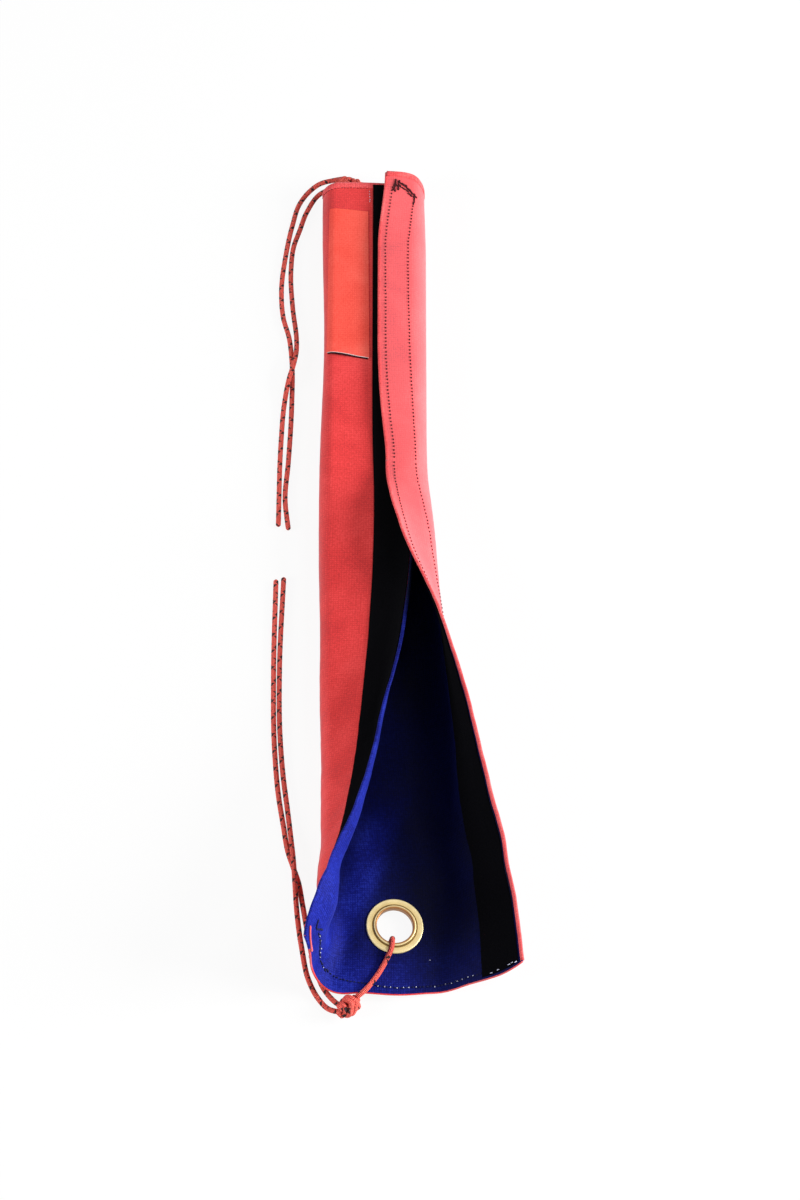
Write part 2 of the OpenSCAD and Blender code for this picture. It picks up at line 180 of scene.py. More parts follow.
# %% Cord tube
def tube(name, points, along, radius=cord_d / 2, sides=16):
    tangent = unit(np.gradient(points, axis=0))
    side = unit(np.cross(tangent[0], [0.3, 0.2, 1.0]))
    angle = 2 * np.pi * np.arange(sides) / sides
    dome_reach, dome_draw, dome_out = 0.7, 0.55, 0.3
    dome = ((1 - dome_draw * np.exp(-(along / dome_reach) ** 2))
            * (1 - dome_draw * np.exp(-((along[-1] - along) / dome_reach) ** 2)))
    rings = []
    for k, (p, d) in enumerate(zip(points, tangent)):
        side = unit(side - d * (side @ d))
        rings.append(p + radius * dome[k] * (np.cos(angle)[:, None] * side
                                             + np.sin(angle)[:, None] * np.cross(d, side)))
    count, n = len(points), sides
    tips = [points[:1] - tangent[:1] * dome_out, points[-1:] + tangent[-1:] * dome_out]
    faces, last = ring_faces(count, n), (count - 1) * n
    turns = [(1000 * i / n, 1000 * (i + 1) / n) for i in range(n)]
    corners = [c for a, b in zip(along[:-1], along[1:]) for u, v in turns
               for c in ((u, a), (v, a), (v, b), (u, b))]
    for i, (u, v) in enumerate(turns):
        faces += [[(i + 1) % n, i, count*n], [last + i, last + (i + 1) % n, count*n + 1]]
        corners += [(v, along[0]), (u, along[0]), (u, along[0]),
                    (u, along[-1]), (v, along[-1]), (u, along[-1])]
    return make_mesh(name, np.vstack(rings + tips), faces, corner_uv=corners)

cords = {}
for node, route in routes.items():
    line, along = smooth_route(route)
    line[:, 2] = np.maximum(line[:, 2], cord_d / 2 + gap)
    cords[node] = (tube(node.replace("_cord", "_braided"), line, along), line, along[-1])
    print(node, "length", round(along[-1], 1), "mm")

# %% [markdown]
# The form of the cloth is the heart of this object. On the flat panel s is measured across from
# the underlap's free edge and t from the hem, both in millimetres, and heights h square to the
# cloth, from the seam between shell and lining. At stations along t the section is given. Between
# them the numbers run on smooth curves, and each section is walked off millimetre by millimetre, so
# the cloth never stretches.
# A row holds t, the middle's x and z, the tilt, and each bend's start, length and angle.

# %% Form of the panel
panel_w, panel_l, shell_t, lining_t, strip_t = 216.0, 700.0, 1.0, 0.8, 1.2
mouth_from, closed_from = 340.0, 430.0    # t where the open mouth and the closed tube begin
flap_s, fold_s = 172.0, 182.0             # s where the flap's and the mouth's own pieces begin
eyelet_s, eyelet_t = 114.0, 51.0          # each eyelet's centre, t from the nearer end
patch_half, patch_fade = 22, 18           # the flat patch round an eyelet: its half width, and
patch_reach, patch_end = 83, 60           # how far in from the cloth's end, each with its fade
closure_gap = 0.5                         # what the pile of the two strips keeps between them
roll = 31.0                               # cloth in the left roll; the right one goes round more
flap_roll = roll + (shell_t + 2 * strip_t + lining_t + closure_gap) * math.pi / 2
stations = np.array([
    [0, -10, 4, -7, 70, 28, 82, 32, 18, 8, 137, 26, 37],
    [40, -10, 4, -7, 80, 27, 86, 28, 18, 36, 137, 38, 48],
    [80, -10, 4, -7, 69, 31, 124, 21, 16, 68, 137, 30, 56],
    [120, -16, 3.3, -4, 79, 36, 139, 19, 14, 74, 137, 32, 58],
    [200, -25, 1, 0, 86, 34, 160, 18, 13, 74, 141, 48, 76],
    [290, -32, 1, 0, 92, 34, 170, 17, 13, 40, 150, 43, 106],
    [360, -36, 1, 0, 92, 33, 178, 16, 13, 20, 155, 40, 140],
    [430, -37, 1, 0, 92, roll, 181, 16, 13, 0, 153, flap_roll, 181],
    [700, -37, 1, 0, 92, roll, 181, 16, 13, 0, 153, flap_roll, 181]], float)

def station_values(t):
    """The twelve numbers of the form at t, on monotone Hermite curves between the stations."""
    T, V = stations[:, 0], stations[:, 1:]
    rise = np.diff(V, axis=0) / np.diff(T)[:, None]
    lean = np.zeros_like(V)
    lean[0] = rise[0]
    a, b = rise[:-1], rise[1:]
    both = np.where(np.abs(a + b) > 1e-12, a + b, 1)
    lean[1:-1] = np.where(a * b > 0, 2 * a * b / both, 0)
    k = min(len(T) - 2, max(0, int(np.searchsorted(T, t, side="right")) - 1))
    span = T[k + 1] - T[k]
    return hermite((t - T[k]) / span, V[k], V[k + 1], span * lean[k], span * lean[k + 1])

def ease(u):
    """A soft step from 0 to 1."""
    u = np.clip(u, 0, 1)
    return u * u * (3 - 2 * u)

def hill(place, middle, width):
    """1 at the middle, falling away over that width."""
    return np.exp(-((place - middle) / width) ** 2)

def flat_patch(s, t):
    """1 on the flat patch round an eyelet, fading to 0."""
    near = 1 - ease((np.abs(s - eyelet_s) - patch_half) / patch_fade)
    return near * (1 - ease((np.minimum(t, panel_l - t) - patch_reach) / patch_end))

def heading(f, s):
    """The section's slope at s, from its tilt and bends."""
    return np.radians(f[2] - f[5] * np.clip((f[3] - s) / f[4], 0, 1)
                      + f[8] * np.clip((f[6] - s) / f[7], 0, 1)
                      + f[11] * np.clip((s - f[9]) / f[10], 0, 1))

print("stations at t", stations[:, 0].tolist())

# %% [markdown]
# The sections are worked out once, on a grid over the panel. Where the tube is shut its upper side
# stands up by up to 4 mm, because the folds on both sides spring open a little. The form is then
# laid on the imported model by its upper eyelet. That one isn't tilted, so its box's middle is its own.

# %% Sections, worked out once
row_step, crown_high, crown_from, patch_z, skew = 2.5, 4.0, 290, 6.4, 8
grid_s = np.arange(0, panel_w + 0.5, 1.0)
grid_t = np.arange(0, panel_l + 0.5, row_step)
grid_x, grid_z, grid_a, crown = (np.zeros((len(grid_t), len(grid_s))) for _ in range(4))
centre = int(panel_w / 2)
for row, t in enumerate(grid_t):
    f = station_values(t)
    turn = heading(f, grid_s[:-1] + 0.5)
    x = np.concatenate([[0], np.cumsum(np.cos(turn))])
    z = np.concatenate([[0], np.cumsum(np.sin(turn))])
    grid_x[row] = x - x[centre] + f[0]
    grid_z[row] = z - z[centre] + f[1] + (patch_z - f[1]) * flat_patch(grid_s, t)
    grid_a[row] = heading(f, grid_s)
    middle, half = (grid_x[row].max() + grid_x[row].min()) / 2, np.ptp(grid_x[row]) / 2
    upper = 0.4 * ease((f[3] - grid_s) / f[4]) + ease((grid_s - f[9]) / f[10])
    rise = ease((t - crown_from) / (closed_from - crown_from))
    crown[row] = rise * upper * np.clip(1 - ((grid_x[row] - middle) / half) ** 2, 0, 1)
step = np.diff(grid_t)[:, None]
gain = np.sqrt(np.maximum(step**2 - np.diff(grid_x, axis=0)**2 - np.diff(grid_z, axis=0)**2, 0.2))
left = np.vstack([np.cumsum(gain[::-1], axis=0)[::-1], np.zeros((1, len(grid_s)))])
grid_y = skew * grid_s / panel_w - left
grid_z += crown_high * crown

def sample(grid, s, t):
    """The grid's value at (s, t), read between its points."""
    i, j = np.clip(t / row_step, 0, len(grid_t) - 1.001), np.clip(s, 0, panel_w - 0.001)
    i0, j0 = i.astype(int), j.astype(int)
    u, v = i - i0, j - j0
    return ((1 - u) * ((1 - v) * grid[i0, j0] + v * grid[i0, j0 + 1])
            + u * ((1 - v) * grid[i0 + 1, j0] + v * grid[i0 + 1, j0 + 1]))

box = np.array(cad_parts["upper_eyelet"].bound_box) * 1000
middle = (box.min(0) + box.max(0)) / 2
grid_x += middle[0] - sample(grid_x, eyelet_s, panel_l - eyelet_t)
grid_y += middle[1] - sample(grid_y, eyelet_s, panel_l - eyelet_t)
eyelet_at = {end: [sample(grid, eyelet_s, t) for grid in (grid_x, grid_y, grid_z, grid_a)]
             for end, t in (("lower", eyelet_t), ("upper", panel_l - eyelet_t))}
print("eyelets at", {end: np.round(place[:3], 3).tolist() for end, place in eyelet_at.items()})

# %% [markdown]
# The ends aren't cut quite square, and handled cloth is full of small pulls and swells. Each one is
# a few millimetres along or across, eased in over a stretch of the panel. They move the grid only,
# so that every layer, edge and stitch that is laid on it follows.

# %% Ends, free edge and small swells
S, T = np.meshgrid(grid_s, grid_t)
# The flare's open corner hangs back, and its other corner is drawn up
grid_y -= 9 * np.clip((S - 150) / 66, 0, 1) ** 2 * np.clip(1 - T / 220, 0, 1) ** 2
grid_y += 8 * ease((80 - S) / 40) * np.clip(1 - T / 110, 0, 1) ** 1.5
# The closed end is rounded off at both folds
end = ease((T - 628) / 72)
grid_y -= end ** 2 * (11 * hill(S, 170, 15) + 4 * hill(S, 76, 12))
# The flap's free edge slides left in the mouth, and right where the strips first grip
slide = np.interp(grid_t, [280, 300, 330, 350, 370, 385, 400, 415, 430, 445, 463, 480, 500, 530],
                  [0, -2, -5.5, -6.6, -4.4, -0.4, 4, 5.8, 7.0, 6.2, 4.2, 2.6, 1.2, 0])
grid_x += smoothed(slide[:, None], 3.5) * ease((S - 176) / 32)
# The left fold goes out on the flare and in beside the label, and the underlap's edge wanders
grid_x -= 2.5 * hill(T, 265, 45) * ease((95 - S) / 30)
grid_x += 2.6 * hill(T, 550, 70) * ease((S - 60) / 18) * ease((130 - S) / 30)
grid_x -= 2.2 * hill(T, 140, 35) * hill(S, 82, 18)
grid_x += 3.8 * hill(T, 46, 15) * ease((48 - S) / 26)
grid_x -= 2.0 * ease((T - 55) / 25) * ease((260 - T) / 60) * ease((26 - S) / 20)
grid_x += 3.0 * hill(T, 365, 70) * ease((60 - S) / 30)
# The right side swells out twice, the hem waves, and the flap's end swings to the right
grid_x += 1.6 * hill(T, 205, 55) * ease((S - 150) / 30) + 1.8 * hill(T, 400, 30) * hill(S, 168, 15)
grid_y += np.clip(1 - T / 150, 0, 1) * (3.6 * hill(S, 178, 26) - 1.6 * hill(S, 116, 20))
grid_x += end * (7 * np.clip((S - 172) / 34, 0, 1) - 1.5 * ease((S - 140) / 32))
print("sleeve spans x", grid_x.min().round(1), grid_x.max().round(1),
      "y", grid_y.min().round(1), grid_y.max().round(1), "z to", grid_z.max().round(1))

# %% [markdown]
# A few long, low waves run through all the layers together, strongest on the open flare and nearly
# nothing in the closed overlap, where the strips pull it flat. They only ever lift the cloth, so
# that the back never sinks into what it lies on.

# %% A point on the cloth
def ripple(s, t):
    loose = 0.22 + 0.75 * (1 - ease((t - 60) / 330))
    in_the_overlap = np.clip((s - 36) / 30, 0, 1) * np.clip((178 - s) / 20, 0, 1)
    calm = np.where(t > closed_from - 60, in_the_overlap, 1)
    wave = (0.40 * np.sin(s * 0.071 + 0.9 * np.sin(t * 0.013)) * np.sin(t * 0.031 + 0.7)
            + 0.22 * np.sin(s * 0.16 + t * 0.055) + 0.13 * np.sin(t * 0.21 - s * 0.09 + 1.3)
            + 0.07 * np.sin(t * 0.43 + s * 0.31))
    return (wave + 0.8) * loose * calm * (1 - flat_patch(s, t))

def on_cloth(s, t, h):
    """Points at height h over the seam face. Past the panel's edge the cloth runs straight on."""
    s, t, h = np.broadcast_arrays(*(np.asarray(v, float) for v in (s, t, h)))
    si, ti = np.clip(s, 0, panel_w), np.clip(t, 0, panel_l)
    angle = sample(grid_a, si, ti)
    h = h + ripple(si, ti)
    over_s, over_t = s - si, t - ti
    x = sample(grid_x, si, ti) - h * np.sin(angle) + over_s * np.cos(angle)
    z = sample(grid_z, si, ti) + h * np.cos(angle) + over_s * np.sin(angle)
    y = sample(grid_y, si, ti) + over_t
    return np.stack([x, y, z], axis=-1)

def cloth_normal(s, t, sign):
    """The cloth's outward normal, worked out from its neighbours so that cuts don't show."""
    d = 1.5
    s0, s1 = np.clip(s - d, 0, panel_w), np.clip(s + d, 0, panel_w)
    t0, t1 = np.clip(t - d, 0, panel_l), np.clip(t + d, 0, panel_l)
    across = on_cloth(s1, t, 0) - on_cloth(s0, t, 0)
    along = on_cloth(s, t1, 0) - on_cloth(s, t0, 0)
    return sign * unit(np.cross(across, along))

print("the back's middle is at", on_cloth(panel_w / 2, panel_l / 2, 0).round(1))

# %% [markdown]
# One helper makes every flat layer: a grid of cells over the panel, with an upper and a lower face
# and a wall along every edge, holes included. The brass covers the edges of the eyelets' holes.

# %% Layer helper
def steps(a, b, size):
    return np.linspace(a, b, max(1, int(round((b - a) / size))) + 1)

def layer(name, s, t, low, high, keep=None, bulge=None, warp=None):
    """keep says which cells are cloth, bulge lifts the faces, and warp moves the cells' corners."""
    S, T = np.meshgrid(s, t)
    if warp is not None:
        S, T = warp(S, T)
    low, high = np.broadcast_to(low, S.shape), np.broadcast_to(high, S.shape)
    if bulge is not None:
        low, high = low + bulge(S, T), high + bulge(S, T)
    top, bottom = on_cloth(S, T, high), on_cloth(S, T, low)
    nt, ns = S.shape
    on = np.ones((nt - 1, ns - 1), bool)
    if keep is not None:
        on = keep((S[1:, 1:] + S[:-1, :-1]) / 2, (T[1:, 1:] + T[:-1, :-1]) / 2)
    at = np.arange(nt * ns).reshape(nt, ns)
    a, b, c, d = at[:-1, :-1][on], at[:-1, 1:][on], at[1:, 1:][on], at[1:, :-1][on]
    m = nt * ns
    faces = [np.stack([a, b, c, d], 1), np.stack([d, c, b, a], 1) + m]
    pad = np.pad(on, 1)
    for (down, right), p, q in (((0, -1), (1, 0), (0, 0)), ((0, 1), (0, 1), (1, 1)),
                                ((-1, 0), (0, 0), (0, 1)), ((1, 0), (1, 1), (1, 0))):
        beside = pad[1 + down:pad.shape[0] - 1 + down, 1 + right:pad.shape[1] - 1 + right]
        i, j = np.nonzero(on & ~beside)
        u, v = at[i + p[0], j + p[1]], at[i + q[0], j + q[1]]
        faces.append(np.stack([v, u, u + m, v + m], 1))
    faces = np.vstack(faces)
    verts = np.vstack([top.reshape(-1, 3), bottom.reshape(-1, 3)])
    uv = np.vstack([np.stack([S.ravel(), T.ravel()], 1)] * 2)
    normals = np.vstack([cloth_normal(S, T, sign).reshape(-1, 3) for sign in (1, -1)])
    used = np.unique(faces)
    renumber = np.full(len(verts), -1)
    renumber[used] = np.arange(len(used))
    return make_mesh(name, verts[used], renumber[faces], uv[used], normals[used])

hole_r = 16    # of the cloth's own hole, which the brass covers

def clear_of_eyelets(s, t):
    return np.hypot(s - eyelet_s, np.minimum(t, panel_l - t) - eyelet_t) > hole_r

def on_sleeve(s, t):
    return (s < flap_s) | (t < mouth_from) | ((s < fold_s) & (t < closed_from))

print("holes at s", eyelet_s, "and", eyelet_t, "mm from each end")

# %% [markdown]
# Shell and lining are each cut into three: the sleeve, the closure flap, and the stretch of the
# open mouth beside the flap, which has to bend along when the flap is peeled open.

# %% Shell and lining
cell_s, cell_t = 2.0, 2.5
right_s = steps(flap_s, panel_w, cell_s)
every_s = np.concatenate([steps(0, flap_s, cell_s), right_s[1:]])
mouth_t = steps(mouth_from, closed_from, cell_t)

def both_cloths(part, s, t, keep=None):
    return (layer(part + "shell_cloth", s, t, -shell_t, -gap, keep),
            layer(part + "lining_cloth", s, t, gap, lining_t, keep))

shell, lining = both_cloths("", every_s, steps(0, panel_l, cell_t),
                            lambda s, t: on_sleeve(s, t) & clear_of_eyelets(s, t))
flap_shell, flap_lining = both_cloths("flap_", right_s, steps(closed_from, panel_l, cell_t))
mouth_shell, mouth_lining = both_cloths("mouth_", steps(fold_s, panel_w, cell_s), mouth_t)
print("faces of shell and lining:", len(shell.data.polygons), len(lining.data.polygons))

# %% [markdown]
# Hook and loop strips are woven tapes with a dense pile. The faces are a fine uneven fuzz, so they
# are moved by small seeded random amounts.

# %% Strips
random = np.random.default_rng(7)
hook_s, loop_s = steps(183, 213, 1.2), steps(1.3, 30.3, 1.0)
strip_from, strip_to = 1.5, panel_l - 1.5
hook_faces = lining_t + gap, lining_t + strip_t - 0.2
loop_faces = -shell_t - strip_t + 0.2, -shell_t - gap

def tape(name, s, t_from, t_to, faces, fuzz):
    return layer(name, s, steps(t_from, t_to, 1.6), *faces, None,
                 lambda s, t: fuzz * random.uniform(-1, 1, s.shape))

hook = tape("hook_tape", hook_s, strip_from, mouth_from, hook_faces, 0.16)
mouth_hook = tape("mouth_hook_tape", hook_s, mouth_from, closed_from, hook_faces, 0.14)
flap_hook = tape("flap_hook_tape", hook_s, closed_from, strip_to, hook_faces, 0.12)
loop = tape("loop_tape", loop_s, strip_from, strip_to, loop_faces, 0.16)
print("strips:", [piece.name for piece in (hook, mouth_hook, flap_hook, loop)])

# %% [markdown]
# The cloth's edges are turned over and sewn. Each turned edge is a small rounded section, drawn
# as (distance in from the edge, height), and swept along that edge of the panel.

# %% Turned edges
def turned_edge(name, edge, where, section):
    """edge is 'underlap', 'flap', 'hem' or 'end'; where holds the places along it."""
    d, h = np.array(section).T
    D, W = np.meshgrid(d, where)
    S, T = {"underlap": (D, W), "flap": (panel_w - D, W), "hem": (W, D), "end": (W, panel_l - D)}[edge]
    points = on_cloth(S, T, np.broadcast_to(h, D.shape))
    points[..., 2] = np.maximum(points[..., 2], gap)
    rows, n = D.shape
    faces = ring_faces(rows, n) + [list(range(n - 1, -1, -1)), [(rows - 1)*n + i for i in range(n)]]
    piece = make_mesh(name, points.reshape(-1, 3), faces, np.stack([S.ravel(), T.ravel()], 1))
    select_only(piece)
    bpy.ops.object.mode_set(mode="EDIT")
    bpy.ops.mesh.select_all(action="SELECT")
    bpy.ops.mesh.normals_make_consistent(inside=False)
    bpy.ops.object.mode_set(mode="OBJECT")
    return piece

def folded(outer, inner, out_reach, in_reach, thick):
    """A section that runs round an edge from height outer to height inner."""
    mid, r = (outer + inner) / 2, (inner - outer) / 2
    turn = np.radians(np.linspace(-90, 90, 9))
    tip = [(-(r + thick) * math.cos(a), mid + (r + thick) * math.sin(a)) for a in turn]
    return ([(out_reach + thick / 2, outer - thick * 0.3), (out_reach, outer - thick)] + tip
            + [(in_reach, inner + thick), (in_reach + thick / 2, inner + thick * 0.3),
               (in_reach, inner), (0.2, inner), (0.2, outer), (out_reach, outer)])

def fold_in(reach, thick, out=1.0):
    return folded(-shell_t, lining_t, out, reach, thick)

edges = {name: turned_edge(name, edge, where, section) for name, edge, where, section in (
    ("underlap_edge", "underlap", steps(0.5, 699.5, 2.5), fold_in(0.4, 0.3, 0.9)),
    ("corner_edge", "hem", steps(0.4, 15, 1.5), fold_in(0.6, 0.3)),
    ("hem_edge", "hem", steps(15, 215.6, 1.5), folded(-shell_t, 0.3, 5.5, 0.1, 0.2)),
    ("end_edge", "end", steps(0.4, flap_s, 1.5), fold_in(5.0, 0.45, 4.2)),
    ("flap_end_edge", "end", steps(flap_s, 215.6, 1.5), fold_in(1.2, 0.45, 4.2)),
    ("flare_edge", "flap", steps(0.5, mouth_from, 2.5), fold_in(1.3, 0.2)),
    ("mouth_edge", "flap", mouth_t, fold_in(1.3, 0.2)),
    ("flap_edge", "flap", steps(closed_from, 699.5, 2.5), fold_in(2.4, 0.2)))}

# The hem's roll of shell cloth ends inside the corner, in a small rounded stub
stub, _ = smooth_route([(20, 0.5), (15, 0.6), (9, 2.2), (5, 5.4), (3, 10)], 0.8)
stub = on_cloth(stub[:, 0], stub[:, 1], lining_t + 0.4)
edges["hem_stub"] = tube("hem_stub", stub, run_length(stub), radius=0.95)
print("edges:", list(edges))

# %% [markdown]
# The label is a soft woven patch, sewn along its sides. Its lower end has come up a little, and a
# dark strip under it is painted shadow. Its face is left bare.

# %% Label
label_s, label_w, label_top, label_long = 34, 34, 674, 138
label_end_s, label_end_t = label_s + label_w, label_top - label_long

def label_slant(s, t):
    down, right = (label_top - t) / label_long, s - label_s - label_w / 2
    return 49.8 + 0.4 * down + right * (0.92 + 0.10 * down), t + right / label_w * (3.5 + 2.0 * down)

def label_lift(s, t):
    across = np.clip((s - label_s) / label_w, 0, 1)
    curl = np.sin(math.pi * np.clip(1.15 - across, 0, 1)) ** 2
    return -(1 - ease((t - 533) / 16)) * (0.5 + 1.5 * curl)

def patch(name, s, t, low, high, lift=1.0):
    return layer(name, s, t, -shell_t - low, -shell_t - high, None,
                 lambda s, t: lift * label_lift(s, t), label_slant)

label = patch("woven_label", steps(label_s, label_end_s, 1.2), steps(label_end_t, label_top, 1.5), 0.45, 0.05)
label_end = patch("label_cut_end", steps(label_s + 0.3, label_end_s - 0.3, 1.2),
                  [label_end_t - 0.2, label_end_t + 0.1], 0.47, 0.1)
# A dark strip under the label's lifted end: painted shadow.
painted_label_shadow = patch("label_painted_shadow_strip", steps(label_s + 1, label_end_s - 1, 1.2),
                   [label_end_t - 1.5, label_end_t + 0.5], 0.3, 0.05, 0.55)
print("label:", [piece.name for piece in (label, label_end, painted_label_shadow)])

# %% [markdown]
# A stitch is a short length of thread that dives into the cloth at both ends. One is modelled from a
# six-sided cylinder: its middle stays up and its ends are scaled in and moved down. It is then copied
# along each seam line.

# %% One stitch
bpy.ops.object.select_all(action="DESELECT")
bpy.ops.mesh.primitive_cylinder_add(vertices=6, radius=0.35, depth=2.0, location=(0, 0, 0),
                                    rotation=(0, math.pi / 2, 0))
one = bpy.context.active_object
bpy.ops.object.transform_apply(location=True, rotation=True, scale=True)
bpy.ops.object.mode_set(mode="EDIT")
for cut in (-0.6, 0.6):
    bpy.ops.mesh.select_all(action="SELECT")
    bpy.ops.mesh.bisect(plane_co=(cut, 0, 0), plane_no=(1, 0, 0))
bpy.ops.object.mode_set(mode="OBJECT")
stitch_points = np.array([v.co for v in one.data.vertices])
ends = np.abs(stitch_points[:, 0]) > 0.9
stitch_points[ends, 1:] *= 0.55
stitch_points[ends, 2] -= 0.28
stitch_faces, stitch_lift = [list(p.vertices) for p in one.data.polygons], 0.2
bpy.data.objects.remove(one)
print("one stitch has", len(stitch_faces), "faces")

# %% [markdown]
# A seam line is a list of (s, t) points. The flap's seams are even and strong, its corner is tacked
# down by a few untidy rows, and the hem shows odd pale loops of the other side's thread.

# %% Seams
def seam(name, line, height, pitch=2.5, length=1.9, width=0.75, wobble=0.12, skip=0.0):
    """Stitches along a line of (s, t) points, on the cloth's face at that height."""
    line = np.array(line, float)
    reach = run_length(line)
    at = np.arange(pitch / 2, reach[-1], pitch)
    at = at[random.uniform(0, 1, len(at)) >= skip]
    place = lambda u: np.array([np.interp(u, reach, line[:, 0]), np.interp(u, reach, line[:, 1])])
    ds, dt = unit((place(at + 0.5) - place(at - 0.5)).T).T
    s, t = place(at)
    s, t = s + random.normal(0, wobble, len(s)), t + random.normal(0, wobble, len(t))
    here, ahead = on_cloth(s, t, height), on_cloth(s + ds, t + dt, height)
    n = cloth_normal(s, t, -1 if height < 0 else 1)
    x = ahead - here
    x = unit(x - n * np.sum(x * n, 1)[:, None])
    y = np.cross(n, x)
    p = stitch_points * [length / 2, width, width] + [0, 0, stitch_lift]
    verts = [here[k] + p[:, :1] * x[k] + p[:, 1:2] * y[k] + p[:, 2:] * n[k] for k in range(len(at))]
    faces = [[i + k * len(p) for i in face] for k in range(len(at)) for face in stitch_faces]
    return make_mesh(name, np.vstack(verts), faces)

outer, inner = -shell_t, lining_t
hem_line = [(19, 15.5), (35, 14), (57, 13), (66, 12.5), (80, 9), (95, 6), (106, 5), (134, 4.5), (182, 5)]
flap_edge_s, flap_fold_s = 210.3, 189.5
stitched = {"maroon": {}, "navy": {}, "pale": {}}
even = 3.2, 1.65, 1.5
seam_table = (    # finish, name, line, height, then pitch, length, width, wobble, share left out
    ("maroon", "flap_outer_edge", [(flap_edge_s, 431), (210.5, 560), (211, 630), (flap_edge_s, 688)],
     outer, *even, 0.1),
    ("maroon", "flap_outer_fold", [(flap_fold_s, 431), (190, 480), (192.5, 590), (192.5, 631),
     (190.5, 662), (flap_fold_s, 676)], outer, *even, 0.1),
    ("maroon", "flap_outer_bar", [(208, 693), (208.4, 682)], outer, 0.8, 2.4, 1.9, 0.45),
    ("maroon", "flap_outer_tack", [(206, 691), (197, 686.5), (188, 680)], outer, 0.9, 2.6, 1.7, 0.4),
    ("maroon", "flap_outer_tack_back", [(206.5, 688), (197.5, 683.5), (189, 677)], outer, 1.2, 2.2, 1.5, 0.4),
    ("maroon", "flap_outer_bar_back", [(204.8, 692), (205.2, 683)], outer, 1.0, 2.4, 1.6, 0.4),
    ("maroon", "flap_outer_stop", [(189, 679), (189.5, 671)], outer, 0.9, 2.0, 1.6, 0.3),
    ("maroon", "flare_edge", [(flap_edge_s, 7), (flap_edge_s, mouth_from)], outer, *even),
    ("maroon", "mouth_edge", [(flap_edge_s, mouth_from), (flap_edge_s, closed_from)], outer, *even),
    ("maroon", "flare_fold", [(flap_fold_s, 7), (flap_fold_s, mouth_from)], outer, *even),
    ("maroon", "mouth_fold", [(flap_fold_s, mouth_from), (flap_fold_s, closed_from)], outer, *even),
    ("maroon", "hem_outside", [(3, 6), (213, 6)], outer + 0.15, 2.6, 1.7),
    ("maroon", "end_outside", [(34, 695.3), (172, 695.3)], outer + 0.15, 2.6, 1.9, 0.6),
    ("navy", "hem_inside", hem_line, inner, 2.7, 1.4, 1.7, 0.15),
    ("navy", "hem_corner", hem_line[:4], inner, 3.3, 3.0, 1.6, 0.9, 0.15),
    ("navy", "corner_mark", [(12, 21), (13, 15.5), (14.5, 15), (22, 21)], inner, 1.1, 2.2, 1.8, 0.15),
    ("pale", "corner_loops", hem_line[:4], inner + 0.15, 4.1, 1.5, 1.1, 1.0, 0.3),
    ("pale", "hem_dots", hem_line[5:], inner + 0.15, 4.6, 0.8, 1.4, 0.25, 0.2),
    ("pale", "hem_dots_right", [(186, 3.4), (213, 2.2)], inner + 1.1, 3.0, 2.0, 0.9, 0.4, 0.3),
    ("pale", "stray_stitch", [(139, 25), (141.4, 25)], inner + 0.1, 2.5, 0.8, 1.2, 0),
    ("pale", "rim_stitches", [(33, 681), (33, 693)], outer, 2.4, 1.1, 0.8, 0.3))
for finish, name, *row in seam_table:
    stitched[finish][name] = seam("thread_" + name, *row)
print("seams:", {finish: len(seams) for finish, seams in stitched.items()})

# %% [markdown]
# Materials. A colour is written as its sRGB hex value and turned to linear once. Every material
# gets two makers of its own, one for any node and one for a sum.

# %% Colour and node helpers
def colour(hex_value):
    parts = [int(hex_value[i:i + 2], 16) / 255 for i in (1, 3, 5)]
    return tuple(c / 12.92 if c <= 0.04045 else ((c + 0.055) / 1.055) ** 2.4 for c in parts) + (1.0,)

def wire(node, **inputs):
    """Inputs are named with _ for spaces, or i0, i1 by place. A socket is linked, a value is set."""
    for key, value in inputs.items():
        socket = node.inputs[int(key[1:]) if key[1:].isdigit() else key.replace("_", " ")]
        if isinstance(value, bpy.types.NodeSocket):
            node.id_data.links.new(value, socket)
        else:
            socket.default_value = value
    return node

def makers(owner):
    def node(kind, settings=None, **inputs):
        made = owner.node_tree.nodes.new("ShaderNode" + kind)
        for key, value in (settings or {}).items():
            setattr(made, key, value)
        return wire(made, **inputs)
    def calc(operation, *values):
        return node("Math", {"operation": operation},
                    **{f"i{k}": value for k, value in enumerate(values)}).outputs["Value"]
    return node, calc

def new_material(name):
    material = bpy.data.materials.new(name)
    material.use_nodes = True
    return material, material.node_tree.nodes["Principled BSDF"], *makers(material)

def ramp(node, factor, *stops):
    """A colour ramp through (position, colour) stops."""
    made = node("ValToRGB", Fac=factor)
    for element, (at, tone) in zip(made.color_ramp.elements, (stops[0], stops[-1])):
        element.position, element.color = at, colour(tone)
    for at, tone in stops[1:-1]:
        made.color_ramp.elements.new(at).color = colour(tone)
    return made.outputs["Color"]

def noise(node, place, scale, detail, rough=0.5, **more):
    return node("TexNoise", Vector=place, Scale=scale, Detail=detail, Roughness=rough, **more).outputs["Fac"]

def relief(node, height, strength, distance):
    return node("Bump", Strength=strength, Distance=distance, Height=height).outputs["Normal"]

def flat_places(node):
    """The place on the flat cloth, or round and along the cord."""
    flat = node("UVMap", {"uv_map": "flat"}).outputs["UV"]
    split = node("SeparateXYZ", Vector=flat).outputs
    return flat, split["X"], split["Y"]

print("pure red is", colour("#FF0000"))

# %% [markdown]
# The shell is polyester cloth with a thin polyurethane coat, and the lining is smooth nylon. Both
# are plain weaves, drawn at 1.8 mm because the real count is too fine to show. The coat has a satin
# sheen, and handling has left faint cloudy tones. Turned edges are painted a little paler, for wear and
# as a painted highlight on their rounded folds. The shell is painted paler towards the closure, a
# painted highlight where the flap faces the light. The lining's colour carries painted shade and light:
# it is darkened deep in the tube and to the right, less so at the hem, and nearly black on the
# underlap's edge from about 300 mm up, while a slanting band on the flare is painted lighter.

# %% Coated cloth
weave_scale = 175.0    # a wave of this scale repeats in 1.8 mm

